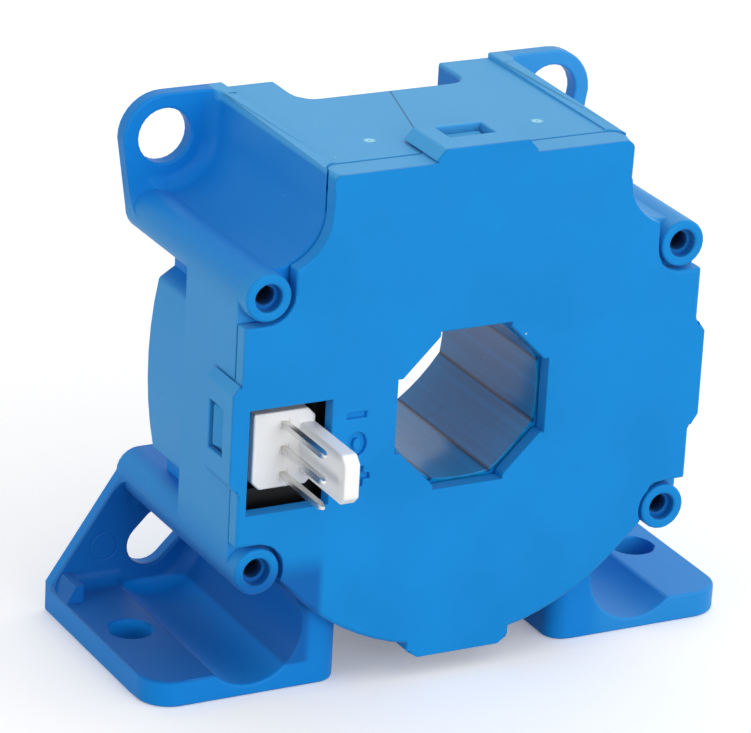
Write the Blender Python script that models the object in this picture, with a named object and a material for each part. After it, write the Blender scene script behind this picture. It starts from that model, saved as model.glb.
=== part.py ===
"""Solid-core current transformer for a 15 mm conductor: moulded case, gapped core and electronics.

Drawing frame: the bore axis is the Y axis, the front face of the cover is the plane Y = 0,
the case reaches back along +Y and Z is up. One empty carries every piece to the part's frame,
whose origin lies on the standing surface, below the middle of the bounding box.
"""
import math

import bmesh
import bpy

MM = 0.001

# Fits between pieces
GAP = 0.3 * MM
SEAM = 0.2 * MM
PIN_FIT = 0.15 * MM
OVERLAP = 0.5 * MM
CHORD_ERROR = 0.02 * MM

# Case, seen from the front
DRUM_RADIUS = 24.2 * MM
SIDE_FLAT_DEPTH = 0.2 * MM
TOP_RISE = 0.3 * MM
BASE_CLEARANCE = 2.9 * MM
RECESS_RADIUS = 5.2 * MM
BOSS_CIRCLE_RISE = 1.36 * MM
BOSS_ANGLE = 31.9
BOSS_RADIUS = 2.3 * MM
WALL = 1.6 * MM
SIDE_WALL = 0.9 * MM

# Case, from front to back
DRUM_DEPTH = 20.4 * MM
BODY_DEPTH = 26.6 * MM
PLATE_THICKNESS = 1.75 * MM
COVER_PLATE = 1.6 * MM
COVER_SKIRT = 3.1 * MM
REAR_ZONE_Y = 12.5 * MM
RECESS_FILLET = 1.5 * MM

# Screw holes and screw bosses
EAR_HOLE_RADIUS = 2.7 * MM
SLOT_RADIUS = 2.2 * MM
SLOT_TRAVEL = 1.3 * MM
SLOT_SHIFT = 0.7 * MM
BOSS_BORE_RADIUS = 1.35 * MM
BOSS_BORE_STEP = 1.0 * MM
PILOT_RADIUS = 0.95 * MM
PILOT_DEPTH = 9.0 * MM

# Ears
EAR_RIM = 4.3 * MM
EAR_LIP = 0.5 * MM
LIP_WIDTH = 1.3 * MM
REAR_ROUND_STEPS = 4
LEG_WIDTH = 6.7 * MM
LEG_HEIGHT = 8.5 * MM
LEG_SHOULDER = 4.2 * MM
LEG_FILLET = 2.0 * MM

# Feet
FOOT_OUTSTAND = 10.3 * MM
FOOT_INSTAND = 9.3 * MM
FOOT_FRONT = 2.1 * MM
FOOT_THICKNESS = 2.7 * MM
FOOT_OUTER_ROUND = 3.2 * MM
FOOT_INNER_ROUND = 2.0 * MM
FOOT_HOLE_RADIUS = 2.15 * MM
FOOT_HOLE_EDGE = 3.5 * MM
FOOT_HOLE_SETBACK = 12.2 * MM
PLATE_STEP = 3.1 * MM
GUSSET_WIDTH = 1.9 * MM
GUSSET_HEIGHT = 1.2 * MM
GUSSET_LENGTH = 3.4 * MM

# Side walls of the rear zone
BULGE_RADIUS = 45.0 * MM
BULGE_MARGIN = 2.6 * MM
BULGE_END = 1.0 * MM
SIDE_NOTCH_DEPTH = 2.4 * MM

# Bore tube
TUBE_APOTHEM = 7.5 * MM
TUBE_WALL = 1.1 * MM
FACET_BOW = 0.25 * MM
COVER_OPENING_MARGIN = 0.4 * MM
COVER_FLAT_MARGIN = 0.61 * MM

# Snap tabs of the cover
TAB_HALF = 4.3 * MM
TAB_SLOPE = 1.2 * MM
TOP_TAB_PROUD = 1.3 * MM
SIDE_TAB_PROUD = 0.9 * MM
TOP_TAB_DEPTH = 6.75 * MM
SIDE_TAB_DEPTH = 5.7 * MM
TAB_REAR_BRIDGE = 0.75 * MM
WINDOW_HALF = 2.35 * MM
WINDOW_LENGTH = 2.9 * MM

# Connector
HEADER_INSET = 5.65 * MM
HEADER_Z = -2.55 * MM
HEADER_WIDTH = 6.35 * MM
HEADER_HEIGHT = 7.62 * MM
HEADER_BASE = 3.2 * MM
HEADER_SETBACK = 2.3 * MM
HEADER_CHAMFER = 0.8 * MM
PIN_PITCH = 2.54 * MM
PIN_SIZE = 0.64 * MM
PIN_REACH = 8.4 * MM
PIN_TIP = 0.35 * MM
PIN_TAIL = 1.2 * MM
LOCK_THICKNESS = 1.55 * MM
LOCK_WIDTH = 4.9 * MM
LOCK_REACH = 9.2 * MM
WINDOW_OUTER_ROOM = 1.575 * MM
WINDOW_INNER_ROOM = 0.475 * MM
WINDOW_UPPER_ROOM = 1.44 * MM
WINDOW_LOWER_ROOM = 1.34 * MM

# Board and potting
BOARD_THICKNESS = 1.6 * MM
BOARD_HOLE_RADIUS = 0.65 * MM
POTTING_THICKNESS = 1.9 * MM
POST_RADIUS = 1.3 * MM

# Core and winding
WINDING_ROOM = 2.7 * MM
WINDING_THICKNESS = 1.0 * MM
WINDING_OPENING = 12.0
TURN_RIDGES = 66
TURN_RELIEF = 0.12 * MM
CASE_WALL = 0.7 * MM
CASE_OPENING = 6.0
AIR_GAP = 2.0 * MM
PART_HEIGHT = 1.9 * MM
SENSOR_DEPTH = 3.6 * MM
SENSOR_HEIGHT = 4.4 * MM
LEAD_SIZE = 0.4 * MM
LEAD_PITCH = 1.0 * MM
WIRE_RADIUS = 0.25 * MM

# Parts on the board: size (width, height, thickness) and direction from the bore in degrees
AMPLIFIER_SIZE = (5.0 * MM, 4.0 * MM, 1.6 * MM)
AMPLIFIER_PITCH = 1.27 * MM
AMPLIFIER_LEAD = 1.0 * MM
TRANSISTOR_SIZE = (5.4 * MM, 5.0 * MM, PART_HEIGHT)
TRANSISTOR_PITCH = 3.6 * MM
TRANSISTOR_LEAD = 0.7 * MM
TRANSISTOR_ANGLE = -56.0
DIODE_SIZE = (4.3 * MM, 2.6 * MM, PART_HEIGHT)
DIODE_ANGLE = 58.0
CAN_RADIUS = 1.7 * MM
CAN_LENGTH = 7.0 * MM
CAN_EDGE = 0.5 * MM
CERAMIC_SIZE = (3.2 * MM, 1.6 * MM, 1.2 * MM)
CERAMIC_ANGLE = 9.0
RESISTOR_PITCH = 3.0 * MM
RESISTOR_SIZE = (1.25 * MM, 2.0 * MM, 0.6 * MM)
RESISTOR_ANGLE = -19.0
LEAD_DROP = 0.1 * MM

# Sizes worked out from those above
SIDE_HALF_WIDTH = DRUM_RADIUS - SIDE_FLAT_DEPTH
TOP_HEIGHT = DRUM_RADIUS + TOP_RISE
BASE_DROP = DRUM_RADIUS + BASE_CLEARANCE
MOUNT_OFFSET = (DRUM_RADIUS + RECESS_RADIUS) * math.sqrt(0.5)
TOP_HALF_WIDTH = MOUNT_OFFSET - RECESS_RADIUS
BOSS_X = (DRUM_RADIUS + BOSS_CIRCLE_RISE) * math.cos(math.radians(BOSS_ANGLE))
BOSS_Z = (DRUM_RADIUS + BOSS_CIRCLE_RISE) * math.sin(math.radians(BOSS_ANGLE))
LEG_INNER_TOP = TOP_HALF_WIDTH - LEG_WIDTH
LEG_FOOT_Z = TOP_HEIGHT - LEG_HEIGHT
LEG_SHOULDER_X = BOSS_X - LEG_SHOULDER
BULGE_HALF_HEIGHT = BOSS_Z - BOSS_RADIUS - BULGE_MARGIN
FOOT_OUTER = MOUNT_OFFSET + FOOT_OUTSTAND
FOOT_INNER = MOUNT_OFFSET - FOOT_INSTAND
FOOT_HOLE_X = FOOT_OUTER - FOOT_HOLE_EDGE
FOOT_HOLE_Y = FOOT_FRONT + FOOT_HOLE_SETBACK
FOOT_TOP = FOOT_THICKNESS - BASE_DROP
PLATE_FRONT = BODY_DEPTH - PLATE_THICKNESS
CASE_FRONT = COVER_PLATE + SEAM
CAVITY_BACK = DRUM_DEPTH - WALL
CAVITY_RADIUS = DRUM_RADIUS - WALL
COVER_OPENING_APOTHEM = TUBE_APOTHEM + COVER_OPENING_MARGIN
COVER_FLAT_HALF = TUBE_APOTHEM * math.tan(math.pi / 8) + COVER_FLAT_MARGIN
TUBE_OUTER_CORNER = (TUBE_APOTHEM + TUBE_WALL) / math.cos(math.pi / 8) + FACET_BOW
HEADER_X = SIDE_HALF_WIDTH - HEADER_INSET
WINDOW_LEFT = HEADER_X + HEADER_WIDTH / 2 + WINDOW_OUTER_ROOM
WINDOW_RIGHT = HEADER_X - HEADER_WIDTH / 2 - WINDOW_INNER_ROOM
WINDOW_TOP = HEADER_Z + HEADER_HEIGHT / 2 + WINDOW_UPPER_ROOM
WINDOW_BOTTOM = HEADER_HEIGHT / 2 - HEADER_Z + WINDOW_LOWER_ROOM
HEADER_BACK = HEADER_SETBACK + HEADER_BASE
BOARD_FRONT = HEADER_BACK + GAP
BOARD_BACK = BOARD_FRONT + BOARD_THICKNESS
PARTS_FRONT = BOARD_BACK + GAP
WINDING_FRONT = PARTS_FRONT + PART_HEIGHT + GAP
WINDING_BACK = CAVITY_BACK - GAP
WINDING_INNER = TUBE_OUTER_CORNER + GAP
WINDING_OUTER = CAVITY_RADIUS - WINDING_ROOM
PARTS_CIRCLE = (TUBE_OUTER_CORNER + CAVITY_RADIUS) / 2
CAN_X = TOP_HALF_WIDTH - WALL - CAN_EDGE - CAN_RADIUS
CAN_Z = TOP_HEIGHT - WALL - CAN_EDGE - CAN_RADIUS
CORE_SKIN = WINDING_THICKNESS + GAP + CASE_WALL + GAP
FRONT_REACH = LOCK_REACH - HEADER_SETBACK


def material(name, colour, roughness, metallic=0.0):
    """Principled material with a plain colour."""
    made = bpy.data.materials.new(name)
    made.use_nodes = True
    shader = made.node_tree.nodes["Principled BSDF"]
    shader.inputs["Base Color"].default_value = (*colour, 1.0)
    shader.inputs["Roughness"].default_value = roughness
    shader.inputs["Metallic"].default_value = metallic
    return made


def arc(centre, radius, start, end):
    """Points of an arc in the XZ plane, angles in degrees from +X towards +Z."""
    widest = math.degrees(2 * math.acos(1 - CHORD_ERROR / radius))
    steps = math.ceil(abs(end - start) / widest)
    angles = [math.radians(start + (end - start) * i / steps) for i in range(steps + 1)]
    return [(centre[0] + radius * math.cos(a), centre[1] + radius * math.sin(a)) for a in angles]


def circle(centre, radius):
    """Closed circle in the XZ plane."""
    return arc(centre, radius, 0.0, 360.0)[:-1]


def mirrored(points):
    """The same outline on the other side of the bore, in the same turning sense."""
    return [(-x, z) for x, z in reversed(points)]


def link(name, mesh):
    """Object in the scene for a finished mesh."""
    piece = bpy.data.objects.new(name, mesh)
    bpy.context.scene.collection.objects.link(piece)
    return piece


def mesh_object(name, form):
    """Object made from a bmesh, with its faces turned outwards."""
    bmesh.ops.recalc_face_normals(form, faces=form.faces)
    mesh = bpy.data.meshes.new(name)
    form.to_mesh(mesh)
    form.free()
    return link(name, mesh)


def prism(name, outline, front, back, rear_round=0.0):
    """Outline in the XZ plane pushed back along Y, its rear edge rounded on request."""
    form = bmesh.new()
    face = form.faces.new([form.verts.new((x, front, z)) for x, z in outline])
    pushed = bmesh.ops.extrude_face_region(form, geom=[face])["geom"]
    moved = [item for item in pushed if isinstance(item, bmesh.types.BMVert)]
    for vert in moved:
        vert.co.y = back
    if rear_round:
        rim = {edge for vert in moved for edge in vert.link_edges}
        rim = [edge for edge in rim if all(vert in moved for vert in edge.verts)]
        bmesh.ops.bevel(form, geom=rim, offset=rear_round, segments=REAR_ROUND_STEPS, profile=0.5,
                        affect="EDGES")
    return mesh_object(name, form)


def box(name, left, right, front, back, bottom, top):
    """Straight block between six planes."""
    outline = [(left, bottom), (right, bottom), (right, top), (left, top)]
    return prism(name, outline, front, back)


def rod(name, centre, radius, front, back):
    """Round bar along Y."""
    return prism(name, circle(centre, radius), front, back)


def plan_prism(name, outline, bottom, top):
    """Outline in the XY plane pushed up along Z."""
    form = bmesh.new()
    face = form.faces.new([form.verts.new((x, y, bottom)) for x, y in outline])
    pushed = bmesh.ops.extrude_face_region(form, geom=[face])["geom"]
    moved = [item for item in pushed if isinstance(item, bmesh.types.BMVert)]
    for vert in moved:
        vert.co.z = top
    return mesh_object(name, form)


def ring(name, opening, section):
    """Bar of one section of (radius, Y) points, bent round the bore, open by an angle beside the top."""
    turns = arc((0.0, 0.0), section[1][0], 90.0 + opening, 450.0 - opening)
    form = bmesh.new()
    loops = []
    for x, z in turns:
        reach = math.hypot(x, z)
        loops.append([form.verts.new((r * x / reach, y, r * z / reach)) for r, y in section])
    count = len(section)
    for first, second in zip(loops, loops[1:]):
        for i in range(count):
            j = (i + 1) % count
            form.faces.new((first[i], first[j], second[j], second[i]))
    form.faces.new(loops[0])
    form.faces.new(list(reversed(loops[-1])))
    return mesh_object(name, form)


def combine(target, tool, operation):
    """Boolean with a tool that stays in the scene as a hidden wire shape."""
    tool.hide_render = True
    tool.display_type = "WIRE"
    step = target.modifiers.new(tool.name, "BOOLEAN")
    step.operation = operation
    step.object = tool
    step.solver = "EXACT"


def join(target, *tools):
    """Add each tool to the target."""
    for tool in tools:
        combine(target, tool, "UNION")


def cut(target, *tools):
    """Take each tool away from the target."""
    for tool in tools:
        combine(target, tool, "DIFFERENCE")


def finish(piece, look, smooth=True):
    """Material, and smooth shading of the round faces."""
    piece.data.materials.append(look)
    if smooth:
        piece.data.shade_smooth()
        piece.data.set_sharp_from_angle(angle=math.radians(35))
    pieces.append(piece)
    return piece


def octagon(apothem, bow=0.0, steps=4):
    """Octagon with a flat at the right, each facet bowed outwards by the given rise."""
    half_side = apothem * math.tan(math.pi / 8)
    points = []
    for facet in range(8):
        middle = facet * math.pi / 4
        for i in range(steps):
            share = 2 * i / steps - 1
            rise = bow * (1 - share * share)
            along = share * half_side
            out = apothem + rise
            points.append((out * math.cos(middle) - along * math.sin(middle),
                           out * math.sin(middle) + along * math.cos(middle)))
    return points


def symmetric(half):
    """Closed outline from its right half, given from the bottom to the top."""
    return half + mirrored(half)


def case_outline(side, corner):
    """Case section: lower circle, straight sides, given corner points, flat top."""
    boss_angle = math.degrees(math.asin(BOSS_Z / DRUM_RADIUS))
    half = arc((0.0, 0.0), DRUM_RADIUS, -90.0, -boss_angle)[1:]
    half += [(side, -BOSS_Z), (side, BOSS_Z)]
    half += corner
    half += [(TOP_HALF_WIDTH, TOP_HEIGHT)]
    return symmetric(half) + [(0.0, -DRUM_RADIUS)]


def cavity_outline(clearance, sides):
    """Inside of the case, smaller all round by a clearance, with or without its square side pockets."""
    radius = CAVITY_RADIUS - clearance
    side = BOSS_Z - BOSS_RADIUS - WALL - clearance
    top = TOP_HALF_WIDTH - WALL - clearance
    side_angle = math.degrees(math.asin(side / radius))
    top_angle = math.degrees(math.acos(top / radius))
    half = arc((0.0, 0.0), radius, -90.0, -side_angle)[1:]
    if sides:
        pocket = SIDE_HALF_WIDTH - SIDE_WALL - clearance
        half += [(pocket, -side), (pocket, side)]
    else:
        half += arc((0.0, 0.0), radius, -side_angle, side_angle)[1:-1]
    half += arc((0.0, 0.0), radius, side_angle, top_angle)
    half += [(top, TOP_HEIGHT - WALL - clearance)]
    return symmetric(half) + [(0.0, -radius)]


def cavity_form(name, front, back, clearance, sides=True):
    """Plug with the shape of the case's inside."""
    return prism(name, cavity_outline(clearance, sides), front, back)


def bore_form(name, front, back, growth):
    """Plug with the bore tube's shape, larger all round by a growth."""
    return prism(name, octagon(TUBE_APOTHEM + growth, FACET_BOW), front, back)


def foot_plan(name, side, bottom, top):
    """Plan shape of a foot: round front corners, straight to the rear face."""
    outer = [(FOOT_OUTER_ROUND - FOOT_OUTER, FOOT_FRONT + FOOT_OUTER_ROUND), FOOT_OUTER_ROUND]
    inner = [(-FOOT_INNER - FOOT_INNER_ROUND, FOOT_FRONT + FOOT_INNER_ROUND), FOOT_INNER_ROUND]
    back = BODY_DEPTH + 2 * OVERLAP
    outline = [(-FOOT_OUTER, back)]
    outline += arc(*outer, 180.0, 270.0)
    outline += arc(*inner, 270.0, 360.0)
    outline += [(-FOOT_INNER, back)]
    return plan_prism(name, [(-side * x, y) for x, y in outline], bottom, top)


def foot_outline():
    """Left foot and its rear plate, seen from the front."""
    return [(-FOOT_INNER, -BASE_DROP),
            (-FOOT_INNER, -LEG_FOOT_Z),
            (-LEG_SHOULDER_X, BOSS_RADIUS - BOSS_Z),
            (-BOSS_X, BOSS_RADIUS - BOSS_Z),
            (-SIDE_HALF_WIDTH, -BOSS_Z),
            (-FOOT_OUTER, PLATE_STEP - BASE_DROP),
            (-FOOT_OUTER, -BASE_DROP)]


def ear_outline():
    """Left ear and its leg, seen from the front."""
    centre = (-MOUNT_OFFSET, TOP_HEIGHT + EAR_LIP - EAR_RIM)
    rim = arc(centre, EAR_RIM, 90.0, 180.0)
    outline = [(-LEG_INNER_TOP, TOP_HEIGHT),
               (LIP_WIDTH - TOP_HALF_WIDTH, TOP_HEIGHT),
               (LIP_WIDTH - TOP_HALF_WIDTH, TOP_HEIGHT + EAR_LIP)]
    outline += rim
    outline += [(-SIDE_HALF_WIDTH, BOSS_Z),
                (-BOSS_X, BOSS_Z - BOSS_RADIUS),
                (-LEG_SHOULDER_X, BOSS_Z - BOSS_RADIUS),
                (-LEG_INNER_TOP, LEG_FOOT_Z)]
    return outline


def recess_corner_angle():
    """Direction from a fixing screw's axis to the next screw boss, in degrees from the vertical."""
    return math.degrees(math.atan2(BOSS_X - MOUNT_OFFSET, MOUNT_OFFSET - BOSS_Z))


def ear_recess_outline():
    """Space for the head of an upper fixing screw, open to the outside and to the top."""
    far = FOOT_OUTER + OVERLAP
    outline = arc((-MOUNT_OFFSET, MOUNT_OFFSET), RECESS_RADIUS, 270.0 - recess_corner_angle(), 360.0)
    return outline + [(-TOP_HALF_WIDTH, far), (-far, far), (-far, BOSS_Z), (-BOSS_X, BOSS_Z)]


def foot_recess_outline():
    """Space for the head of a lower fixing screw, open to the outside, its floor on the foot."""
    far = FOOT_OUTER + OVERLAP
    floor_angle = math.degrees(math.asin((FOOT_TOP + MOUNT_OFFSET) / RECESS_RADIUS))
    outline = arc((-MOUNT_OFFSET, -MOUNT_OFFSET), RECESS_RADIUS, 90.0 + recess_corner_angle(),
                  -180.0 - floor_angle)
    return outline + [(-far, FOOT_TOP), (-far, -BOSS_Z), (-BOSS_X, -BOSS_Z)]


def bulge_outline():
    """Bowed left side wall of the rear zone, with sloped ends."""
    centre = (BULGE_RADIUS - SIDE_HALF_WIDTH, 0.0)
    half_angle = math.degrees(math.asin(BULGE_HALF_HEIGHT / BULGE_RADIUS))
    foot_x = SIDE_NOTCH_DEPTH - SIDE_HALF_WIDTH
    outline = arc(centre, BULGE_RADIUS, 180.0 - half_angle, 180.0 + half_angle)
    outline += [(foot_x, -BULGE_HALF_HEIGHT - BULGE_END),
                (foot_x + WALL, -BULGE_HALF_HEIGHT - BULGE_END),
                (foot_x + WALL, BULGE_HALF_HEIGHT + BULGE_END),
                (foot_x, BULGE_HALF_HEIGHT + BULGE_END)]
    return outline


def slot_outline():
    """Slotted hole of the left rear plate, long towards the bore."""
    centre = SLOT_SHIFT - MOUNT_OFFSET
    step = SLOT_TRAVEL * math.sqrt(0.5)
    upper = arc((centre + step, centre + step), SLOT_RADIUS, -45.0, 135.0)
    lower = arc((centre - step, centre - step), SLOT_RADIUS, 135.0, 315.0)
    return upper + lower


def leg_fillet(name, side):
    """Concave blend between an upper leg and the drum's rear face."""
    corner = (LEG_INNER_TOP - LEG_FILLET, DRUM_DEPTH + LEG_FILLET)
    outline = [(LEG_INNER_TOP + OVERLAP, DRUM_DEPTH - OVERLAP),
               (LEG_INNER_TOP + OVERLAP, DRUM_DEPTH + LEG_FILLET)]
    outline += arc(corner, LEG_FILLET, 0.0, -90.0)
    outline += [(LEG_INNER_TOP - LEG_FILLET, DRUM_DEPTH - OVERLAP)]
    outline = [(side * x, y) for x, y in outline]
    return plan_prism(name, outline, LEG_FOOT_Z, TOP_HEIGHT)


def snap_nub(name, direction, reach, window_back):
    """Ramp that a cover tab's window drops over; direction is a quarter turn count from +X."""
    half = WINDOW_HALF - GAP
    back = window_back - GAP
    front = back - (WINDOW_LENGTH - 2 * GAP)
    profile = [(reach - OVERLAP, front), (reach, front), (reach + SIDE_TAB_PROUD - SEAM, back),
               (reach - OVERLAP, back)]
    turn = direction * math.pi / 2
    form = bmesh.new()
    rows = []
    for along in (-half, half):
        rows.append([form.verts.new((out * math.cos(turn) - along * math.sin(turn), y,
                                     out * math.sin(turn) + along * math.cos(turn)))
                     for out, y in profile])
    form.faces.new(rows[0])
    form.faces.new(list(reversed(rows[1])))
    for i in range(4):
        j = (i + 1) % 4
        form.faces.new((rows[0][i], rows[1][i], rows[1][j], rows[0][j]))
    return mesh_object(name, form)


def left_or_right(side):
    """Word for a side, for the names of shapes."""
    return "left" if side < 0 else "right"


def boss_corners():
    """Side, level and label of the four screw bosses."""
    return [(side, level, left_or_right(side) + ("_low" if level < 0 else "_high"))
            for side in (-1, 1) for level in (-1, 1)]


def make_rear_housing(look):
    """Moulded case: drum, top block, four legs with screw recesses, bore tube, screw bosses."""
    corner = [(TOP_HALF_WIDTH, BOSS_Z)]
    housing = prism("rear_housing", case_outline(SIDE_HALF_WIDTH, corner), CASE_FRONT, REAR_ZONE_Y)
    rear_side = SIDE_HALF_WIDTH - SIDE_NOTCH_DEPTH
    join(housing, prism("rear_zone", case_outline(rear_side, corner), REAR_ZONE_Y - OVERLAP, DRUM_DEPTH))
    for side, turned in ((-1, list), (1, mirrored)):
        label = left_or_right(side)
        foot = prism("foot_" + label, turned(foot_outline()), FOOT_FRONT, BODY_DEPTH + OVERLAP)
        combine(foot, foot_plan("foot_plan_" + label, side, -BASE_DROP - OVERLAP, 0.0), "INTERSECT")
        join(housing, foot,
             prism("ear_" + label, turned(ear_outline()), CASE_FRONT, BODY_DEPTH + OVERLAP),
             prism("bulge_" + label, turned(bulge_outline()), REAR_ZONE_Y - OVERLAP, DRUM_DEPTH),
             leg_fillet("leg_fillet_" + label, side))
        foot_recess = prism("foot_recess_" + label, turned(foot_recess_outline()), -OVERLAP, PLATE_FRONT,
                            RECESS_FILLET)
        cut(foot_recess, gusset("gusset_" + label, turned))
        cut(housing, foot_recess,
            prism("ear_recess_" + label, turned(ear_recess_outline()), -OVERLAP, PLATE_FRONT, RECESS_FILLET),
            rod("ear_hole_" + label, (side * MOUNT_OFFSET, MOUNT_OFFSET), EAR_HOLE_RADIUS,
                PLATE_FRONT - OVERLAP, BODY_DEPTH + 2 * OVERLAP),
            prism("foot_slot_" + label, turned(slot_outline()), PLATE_FRONT - OVERLAP,
                  BODY_DEPTH + 2 * OVERLAP),
            foot_hole("foot_hole_" + label, side))
    for side, level, label in boss_corners():
        join(housing, rod("boss_" + label, (side * BOSS_X, level * BOSS_Z), BOSS_RADIUS, 0.0,
                          BODY_DEPTH + 2 * OVERLAP))
    far = FOOT_OUTER + OVERLAP
    cut(housing, box("rear_trim", -far, far, BODY_DEPTH, BODY_DEPTH + 3 * OVERLAP, -far, far),
        cavity_form("cavity", -OVERLAP, CAVITY_BACK, 0.0, sides=False),
        cavity_form("cavity_front", -OVERLAP, WINDING_FRONT, 0.0),
        box("skirt_rebate", -TOP_HALF_WIDTH - OVERLAP, TOP_HALF_WIDTH + OVERLAP, -OVERLAP,
            COVER_SKIRT + SEAM, TOP_HEIGHT - WALL - OVERLAP, TOP_HEIGHT + EAR_LIP + OVERLAP))
    spot = (CAVITY_RADIUS - POST_RADIUS + OVERLAP) * math.sqrt(0.5)
    for side, level, label in boss_corners():
        join(housing, rod("post_" + label, (side * spot, level * spot), POST_RADIUS, BOARD_BACK + GAP,
                          CAVITY_BACK + OVERLAP))
    join(housing, prism("bore_tube", octagon(TUBE_APOTHEM + TUBE_WALL, FACET_BOW), CASE_FRONT, DRUM_DEPTH),
         snap_nub("nub_top", 1, TOP_HEIGHT, TOP_TAB_DEPTH - TAB_REAR_BRIDGE),
         snap_nub("nub_right", 0, SIDE_HALF_WIDTH, SIDE_TAB_DEPTH - TAB_REAR_BRIDGE),
         snap_nub("nub_left", 2, SIDE_HALF_WIDTH, SIDE_TAB_DEPTH - TAB_REAR_BRIDGE),
         snap_nub("nub_bottom", 3, DRUM_RADIUS, SIDE_TAB_DEPTH - TAB_REAR_BRIDGE))
    cut(housing, bore_form("bore", -OVERLAP, DRUM_DEPTH + OVERLAP, 0.0))
    for side, level, label in boss_corners():
        place = (side * BOSS_X, level * BOSS_Z)
        cut(housing, rod("boss_bore_" + label, place, BOSS_BORE_RADIUS, -OVERLAP, BOSS_BORE_STEP),
            rod("pilot_" + label, place, PILOT_RADIUS, -OVERLAP, PILOT_DEPTH))
    return finish(housing, look)


def foot_hole(name, side):
    """Vertical hole of a foot."""
    outline = circle((side * FOOT_HOLE_X, FOOT_HOLE_Y), FOOT_HOLE_RADIUS)
    return plan_prism(name, outline, -BASE_DROP - OVERLAP, FOOT_TOP + OVERLAP)


def gusset(name, turned):
    """Wedge that the foot recess leaves standing between a foot and its rear plate, at the outer edge."""
    inner = GUSSET_WIDTH - FOOT_OUTER
    outline = [(-FOOT_OUTER - GUSSET_WIDTH, FOOT_TOP - GUSSET_HEIGHT),
               (inner, FOOT_TOP - GUSSET_HEIGHT),
               (inner, FOOT_TOP + GUSSET_HEIGHT)]
    return prism(name, turned(outline), PLATE_FRONT - GUSSET_LENGTH, PLATE_FRONT + OVERLAP)


def boss_cut_outline(side, level):
    """What the cover leaves open round a screw boss, out to its side edge."""
    radius = BOSS_RADIUS + 2 * SEAM
    far = FOOT_OUTER
    outline = arc((BOSS_X, BOSS_Z), radius, 90.0, 270.0)
    outline += [(far, BOSS_Z - radius), (far, BOSS_Z + radius)]
    return [(side * x, level * z) for x, z in outline]


def tab_outline(reach, proud):
    """Snap tab seen from the front, pointing to +X from the case's outer face."""
    root = TAB_HALF + TAB_SLOPE
    return [(reach + SEAM, -root + SEAM), (reach + proud, -TAB_HALF), (reach + proud, TAB_HALF),
            (reach + SEAM, root - SEAM)]


def quarter_turned(points, turns):
    """Outline turned round the bore by quarter turns."""
    for _ in range(turns):
        points = [(-z, x) for x, z in points]
    return points


def make_front_cover(look):
    """Cover: plate with skirt, four snap tabs with windows, bore opening, connector window."""
    corner = arc((MOUNT_OFFSET, MOUNT_OFFSET), RECESS_RADIUS, 270.0, 180.0)
    cover = prism("front_cover", case_outline(SIDE_HALF_WIDTH, corner), 0.0, COVER_PLATE)
    top_half = TOP_HALF_WIDTH - SEAM
    join(cover, box("skirt", -top_half, top_half, 0.0, COVER_SKIRT, TOP_HEIGHT - WALL, TOP_HEIGHT))
    tabs = (("right", 0, SIDE_HALF_WIDTH, SIDE_TAB_PROUD, SIDE_TAB_DEPTH, COVER_PLATE),
            ("top", 1, TOP_HEIGHT, TOP_TAB_PROUD, TOP_TAB_DEPTH, COVER_SKIRT),
            ("left", 2, SIDE_HALF_WIDTH, SIDE_TAB_PROUD, SIDE_TAB_DEPTH, COVER_PLATE),
            ("bottom", 3, DRUM_RADIUS, SIDE_TAB_PROUD, SIDE_TAB_DEPTH, COVER_PLATE))
    for label, turns, reach, proud, depth, root_depth in tabs:
        root = TAB_HALF + TAB_SLOPE
        outline = tab_outline(reach, proud)
        raised = reach + 2 * SEAM
        neck = [(reach - WALL, -root), (reach, -root), (raised, -TAB_HALF), (raised, TAB_HALF),
                (reach, root), (reach - WALL, root)]
        back = depth - TAB_REAR_BRIDGE
        window = [(reach - SEAM, -WINDOW_HALF), (reach + proud + SEAM, -WINDOW_HALF),
                  (reach + proud + SEAM, WINDOW_HALF), (reach - SEAM, WINDOW_HALF)]
        join(cover, prism("tab_" + label, quarter_turned(outline, turns), 0.0, depth),
             prism("tab_neck_" + label, quarter_turned(neck, turns), 0.0, root_depth))
        cut(cover, prism("tab_window_" + label, quarter_turned(window, turns), back - WINDOW_LENGTH, back))
    for side, level, label in boss_corners():
        cut(cover, prism("boss_cut_" + label, boss_cut_outline(side, level), -OVERLAP,
                         COVER_PLATE + OVERLAP))
    back = COVER_PLATE + OVERLAP
    flats = COVER_FLAT_HALF
    reach = COVER_OPENING_APOTHEM
    opening = prism("bore_opening", octagon(reach, 0.0, 1), -OVERLAP, back)
    join(opening, box("opening_wide", -reach, reach, -OVERLAP, back, -flats, flats),
         box("opening_tall", -flats, flats, -OVERLAP, back, -reach, reach))
    cut(cover, opening,
        box("connector_window", -WINDOW_LEFT, -WINDOW_RIGHT, -OVERLAP, back, -WINDOW_BOTTOM, WINDOW_TOP))
    return finish(cover, look)


def pin_places():
    """Centres of the three pins in the XZ plane, the top one first."""
    return [(-HEADER_X, HEADER_Z + PIN_PITCH * step) for step in (1, 0, -1)]


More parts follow.
